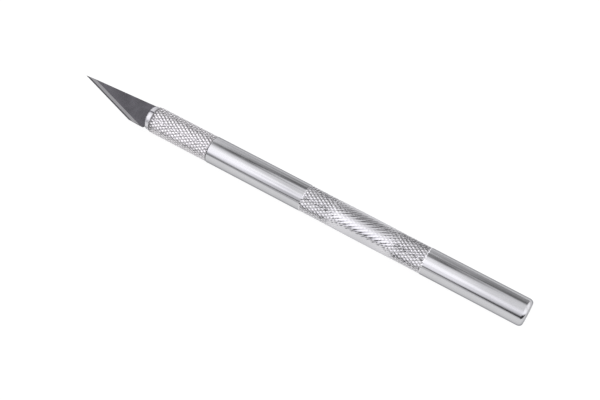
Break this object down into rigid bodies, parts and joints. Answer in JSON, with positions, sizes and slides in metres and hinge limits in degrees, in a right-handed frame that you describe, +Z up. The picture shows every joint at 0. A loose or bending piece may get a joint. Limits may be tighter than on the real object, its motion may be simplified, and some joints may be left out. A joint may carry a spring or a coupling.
{
  "type": "hobby craft knife",
  "caption": "Slim round craft knife: knurled metal handle, knurled chuck sleeve that turns to clamp spring collet jaws, and a pointed replaceable blade that slides out.",
  "frame": {"origin": "middle of the base of the bounding box: half-way between blade tip and rear end, under the knife's axis, on the surface that the handle lies on", "axes": "+X along the knife from the blade tip to the rear end of the handle, +Y towards the blade's spine, +Z up, square to the blade"},
  "size_m": [0.1446, 0.008, 0.008],
  "materials": {
    "handle_metal": "polished, finely turned",
    "sleeve_metal": "bright diamond knurl",
    "collet_metal": "turned, satin",
    "blade_steel": "dark satin face with a lighter ground bevel"
  },
  "bodies": {
    "handle": {"handle_body": "handle_metal"},
    "sleeve": {"chuck_sleeve": "sleeve_metal"},
    "collet": {"collet_stem": "collet_metal"},
    "jaw_1": {"collet_jaw_1": "collet_metal"},
    "jaw_2": {"collet_jaw_2": "collet_metal"},
    "jaw_3": {"collet_jaw_3": "collet_metal"},
    "jaw_4": {"collet_jaw_4": "collet_metal"},
    "blade": {"blade": "blade_steel"}
  },
  "joints": [
    {"name": "sleeve_turn", "type": "hinge", "parent": "handle", "child": "sleeve", "pos_m": [-0.0268, 0, 0.004], "axis": [-1, 0, 0], "range_deg": [0, 720]},
    {"name": "collet_screw", "type": "slide", "parent": "sleeve", "child": "collet", "axis": [-1, 0, 0], "range_m": [0, 0.00141]},
    {"name": "jaw_1_flex", "type": "hinge", "parent": "collet", "child": "jaw_1", "pos_m": [-0.0318, 0.00198, 0.00598], "axis": [0, 0.7071, -0.7071], "range_deg": [0, 0.61]},
    {"name": "jaw_2_flex", "type": "hinge", "parent": "collet", "child": "jaw_2", "pos_m": [-0.0318, -0.00198, 0.00598], "axis": [0, 0.7071, 0.7071], "range_deg": [0, 0.61]},
    {"name": "jaw_3_flex", "type": "hinge", "parent": "collet", "child": "jaw_3", "pos_m": [-0.0318, -0.00198, 0.00202], "axis": [0, -0.7071, 0.7071], "range_deg": [0, 0.61]},
    {"name": "jaw_4_flex", "type": "hinge", "parent": "collet", "child": "jaw_4", "pos_m": [-0.0318, 0.00198, 0.00202], "axis": [0, -0.7071, -0.7071], "range_deg": [0, 0.61]},
    {"name": "blade_slide", "type": "slide", "parent": "collet", "child": "blade", "axis": [-1, 0, 0], "range_m": [0, 0.015]}
  ],
  "couplings": [
    {"joint": "collet_screw", "follows": "sleeve_turn", "m_per_rad": 0.00011141},
    {"joint": "jaw_1_flex", "follows": "sleeve_turn", "ratio": 0.00083333},
    {"joint": "jaw_2_flex", "follows": "sleeve_turn", "ratio": 0.00083333},
    {"joint": "jaw_3_flex", "follows": "sleeve_turn", "ratio": 0.00083333},
    {"joint": "jaw_4_flex", "follows": "sleeve_turn", "ratio": 0.00083333}
  ]
}
